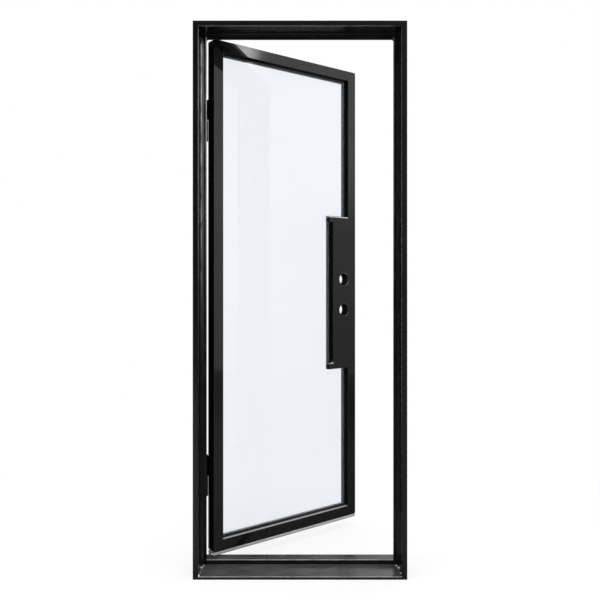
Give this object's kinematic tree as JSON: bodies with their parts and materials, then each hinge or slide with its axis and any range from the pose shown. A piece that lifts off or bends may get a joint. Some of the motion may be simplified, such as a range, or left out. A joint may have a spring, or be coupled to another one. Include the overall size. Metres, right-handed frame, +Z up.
{
  "type": "glass door",
  "caption": "Slim black steel door with a clear pane in its own frame, hung on barrel hinges and standing ajar; tall lock box with open bores, stepped threshold.",
  "frame": {"origin": "middle of the threshold's underside, half way through the frame's depth", "axes": "+X along the wall from the hinge side to the lock side, +Y through the wall away from the front, towards which the leaf opens, +Z up"},
  "size_m": [0.813, 0.632, 2.118],
  "materials": {
    "frame_paint": "semi-gloss black",
    "threshold_paint": "semi-gloss black, scuffed",
    "leaf_paint": "semi-gloss black",
    "hinge_paint": "semi-gloss black",
    "seal_rubber": "matt black",
    "gasket_rubber": "matt black",
    "clear_glass": "clear, faintly blue",
    "setting_block_plastic": "matt",
    "pin_steel": "ground",
    "washer_brass": "bare",
    "sweep_carrier_plastic": "light grey",
    "sweep_fin_rubber": "light grey"
  },
  "bodies": {
    "frame": {"hinge_jamb": "frame_paint", "strike_jamb": "frame_paint", "head_jamb": "frame_paint", "threshold": "threshold_paint", "hinge_stop": "frame_paint", "strike_stop": "frame_paint", "head_stop": "frame_paint", "frame_seal": "seal_rubber", "upper_hinge_jamb_half": "hinge_paint", "upper_hinge_pin": "pin_steel", "upper_hinge_washer": "washer_brass", "lower_hinge_jamb_half": "hinge_paint", "lower_hinge_pin": "pin_steel", "lower_hinge_washer": "washer_brass"},
    "leaf": {"hinge_stile": "leaf_paint", "lower_lock_stile": "leaf_paint", "upper_lock_stile": "leaf_paint", "bottom_rail": "leaf_paint", "top_rail": "leaf_paint", "lock_box": "leaf_paint", "glass_pane": "clear_glass", "setting_blocks": "setting_block_plastic", "front_gasket": "gasket_rubber", "back_gasket": "gasket_rubber", "sweep_carrier": "sweep_carrier_plastic", "sweep_fin": "sweep_fin_rubber", "front_stop_bottom": "leaf_paint", "back_bead_bottom": "leaf_paint", "front_stop_lower_lock": "leaf_paint", "back_bead_lower_lock": "leaf_paint", "front_stop_box_bottom": "leaf_paint", "back_bead_box_bottom": "leaf_paint", "front_stop_box_side": "leaf_paint", "back_bead_box_side": "leaf_paint", "front_stop_box_top": "leaf_paint", "back_bead_box_top": "leaf_paint", "front_stop_upper_lock": "leaf_paint", "back_bead_upper_lock": "leaf_paint", "front_stop_top": "leaf_paint", "back_bead_top": "leaf_paint", "front_stop_hinge": "leaf_paint", "back_bead_hinge": "leaf_paint", "upper_hinge_leaf_half": "hinge_paint", "lower_hinge_leaf_half": "hinge_paint"}
  },
  "joints": [
    {"name": "leaf_swing", "type": "hinge", "parent": "frame", "child": "leaf", "pos_m": [-0.3836, 0.0955, 0], "axis": [0, 0, 1], "range_deg": [-38, 130]}
  ]
}
